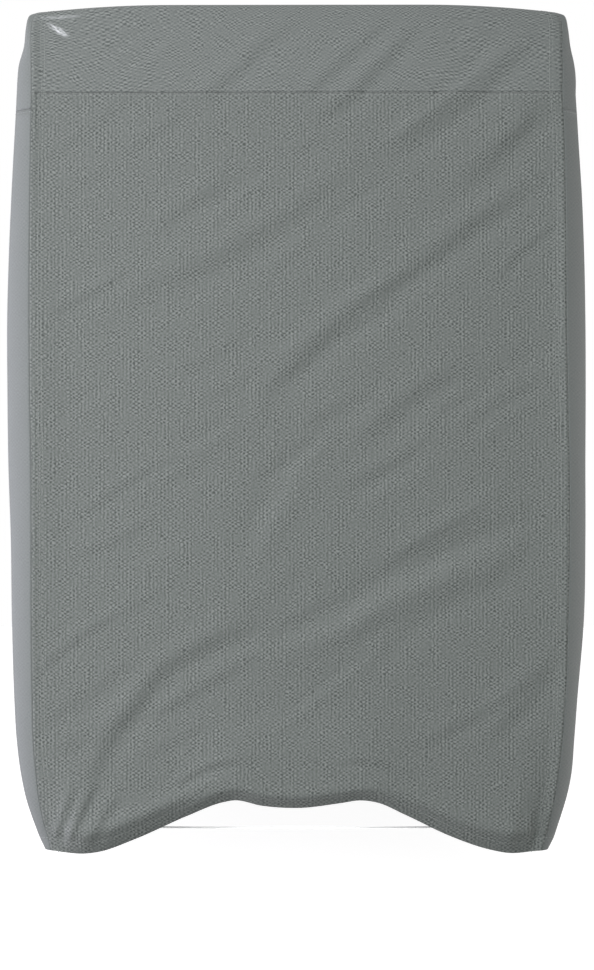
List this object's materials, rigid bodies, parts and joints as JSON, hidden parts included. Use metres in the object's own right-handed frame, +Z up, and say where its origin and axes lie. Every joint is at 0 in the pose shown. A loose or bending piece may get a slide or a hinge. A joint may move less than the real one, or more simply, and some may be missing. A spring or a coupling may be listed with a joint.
{
  "type": "trailer cover",
  "caption": "Fitted grey cloth cover for a travel trailer, empty and in its hanging shape, with a roof piece, front, rear, sides, top bands and a belly strap.",
  "frame": {"origin": "the roof_rest mount, on the underside of the roof cloth at its middle", "axes": "+Y from the front to the rear along the cover, +X to the right seen from the front, +Z up"},
  "size_m": [2.1021, 5.5321, 3.0144],
  "materials": {
    "cloth": "matt embossed non-woven polypropylene",
    "webbing": "matt woven webbing"
  },
  "bodies": {
    "root": {"front_panel": "cloth", "rear_panel": "cloth", "roof_panel": "cloth", "left_side_panel": "cloth", "right_side_panel": "cloth", "left_top_band": "cloth", "right_top_band": "cloth", "belly_strap": "webbing"}
  },
  "joints": []
}
